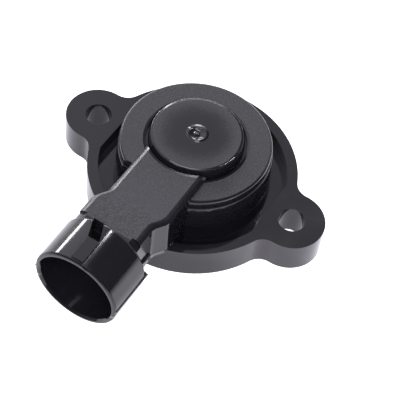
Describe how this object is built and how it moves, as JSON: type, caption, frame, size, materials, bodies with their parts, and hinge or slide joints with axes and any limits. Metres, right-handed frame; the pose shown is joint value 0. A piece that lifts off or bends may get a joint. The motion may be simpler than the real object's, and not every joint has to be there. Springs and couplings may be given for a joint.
{
  "type": "throttle position sensor",
  "caption": "Rotary position sensor: two-eared round flange, raised drum and bent neck to a round connector shroud, with a sprung drive rotor inside.",
  "frame": {"origin": "on the rotor's axis at the mounting face under the flange", "axes": "+Z along the rotor's axis out of the mounting face towards the drum's top, +X along the line of the two ear holes, -Y along the connector's axis out of its mouth"},
  "size_m": [0.0706, 0.0717, 0.0225],
  "materials": {
    "moulded_black_plastic": "glass-filled black plastic, spark-textured on the flat tops and glossy on the walls",
    "cover_plastic": "plain moulded",
    "seal_rubber": "satin",
    "tinned_brass": "tin plated",
    "board_laminate": "coated laminate",
    "carbon_ink": "smooth printed ink",
    "silver_ink": "matt printed ink",
    "rivet_brass": "as formed",
    "natural_plastic": "plain moulded",
    "spring_steel": "as drawn",
    "contact_bronze": "as stamped",
    "contact_silver": "polished"
  },
  "bodies": {
    "sensor_body": {"housing": "moulded_black_plastic", "terminal_supply": "tinned_brass", "terminal_signal": "tinned_brass", "terminal_ground": "tinned_brass", "back_cover": "cover_plastic", "mount_seal": "seal_rubber", "rotor_seal": "seal_rubber", "element_plate": "board_laminate", "resistor_track": "carbon_ink", "collector_track": "carbon_ink", "trace_supply": "silver_ink", "trace_signal": "silver_ink", "trace_ground": "silver_ink", "rivet_supply": "rivet_brass", "rivet_signal": "rivet_brass", "rivet_ground": "rivet_brass", "return_spring": "spring_steel"},
    "rotor_unit": {"rotor": "natural_plastic", "thrust_washer": "spring_steel", "wiper": "contact_bronze", "contact_outer": "contact_silver", "contact_inner": "contact_silver"}
  },
  "joints": [
    {"name": "rotor_turn", "type": "hinge", "parent": "sensor_body", "child": "rotor_unit", "pos_m": [0, 0, 0], "axis": [0, 0, 1], "range_deg": [0, 100], "stiffness_Nm_per_rad": 0.012, "springref_deg": -28.65, "deforming": ["return_spring"]}
  ]
}
